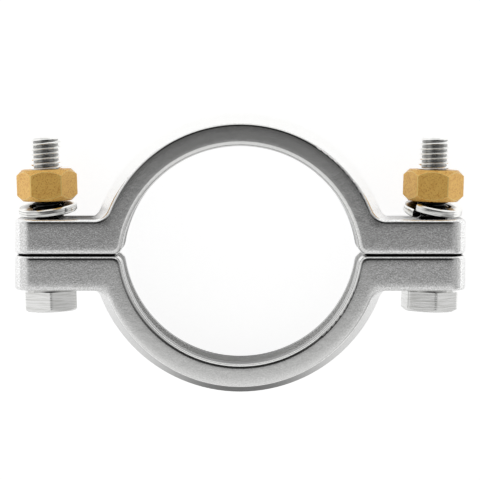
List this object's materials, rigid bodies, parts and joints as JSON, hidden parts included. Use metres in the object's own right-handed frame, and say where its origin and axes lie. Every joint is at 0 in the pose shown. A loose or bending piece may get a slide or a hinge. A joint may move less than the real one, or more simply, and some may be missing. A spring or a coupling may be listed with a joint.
{
  "type": "two-bolt sanitary clamp",
  "caption": "Cast half rings with an inner V groove, closed round joined tube ferrules by bolts through their ears, with tall brass nuts and split spring washers.",
  "frame": {"origin": "ring centre, where the closed halves meet, at the level of the flat back face", "axes": "+X towards the right ear, +Y from the split towards the upper half and the nuts, +Z out of the front face along the ring's axis"},
  "size_m": [0.1138, 0.071, 0.019],
  "materials": {
    "cast_steel": "cast stainless, blasted to a fine satin grain, edges bright",
    "bolt_steel": "bright rolled stainless, head drawn and lightly brushed",
    "nut_brass": "satin golden brass, slightly mottled",
    "washer_steel": "bright spring wire"
  },
  "bodies": {
    "lower_half": {"lower_half": "cast_steel"},
    "upper_half": {"upper_half": "cast_steel"},
    "left_bolt": {"left_bolt": "bolt_steel"},
    "right_bolt": {"right_bolt": "bolt_steel"},
    "left_lock_washer": {"left_lock_washer": "washer_steel"},
    "right_lock_washer": {"right_lock_washer": "washer_steel"},
    "left_nut": {"left_nut": "nut_brass"},
    "right_nut": {"right_nut": "nut_brass"}
  },
  "joints": [
    {"name": "left_bolt_spin", "type": "hinge", "parent": "lower_half", "child": "left_bolt", "pos_m": [-0.0485, 0, 0.0095], "axis": [-0.0314, 0.9995, 0], "continuous": true},
    {"name": "left_washer_slide", "type": "slide", "parent": "left_bolt", "child": "left_lock_washer", "axis": [-0.0314, 0.9995, 0], "range_m": [0, 0.00791]},
    {"name": "left_nut_turn", "type": "hinge", "parent": "left_lock_washer", "child": "left_nut", "pos_m": [-0.0485, 0, 0.0095], "axis": [-0.0314, 0.9995, 0], "range_deg": [0, 2276.5]},
    {"name": "right_bolt_spin", "type": "hinge", "parent": "lower_half", "child": "right_bolt", "pos_m": [0.0485, 0, 0.0095], "axis": [0.0314, 0.9995, 0], "continuous": true},
    {"name": "right_washer_slide", "type": "slide", "parent": "right_bolt", "child": "right_lock_washer", "axis": [0.0314, 0.9995, 0], "range_m": [0, 0.00791]},
    {"name": "right_nut_turn", "type": "hinge", "parent": "right_lock_washer", "child": "right_nut", "pos_m": [0.0485, 0, 0.0095], "axis": [0.0314, 0.9995, 0], "range_deg": [0, 2276.5]},
    {"name": "upper_half_lift", "type": "slide", "parent": "lower_half", "child": "upper_half", "axis": [0, 1, 0], "range_m": [0, 0.0079]}
  ],
  "couplings": [
    {"joint": "left_washer_slide", "follows": "upper_half_lift", "ratio": 1.0005},
    {"joint": "left_nut_turn", "follows": "upper_half_lift", "rad_per_m": 5029},
    {"joint": "right_washer_slide", "follows": "upper_half_lift", "ratio": 1.0005},
    {"joint": "right_nut_turn", "follows": "upper_half_lift", "rad_per_m": 5029}
  ]
}
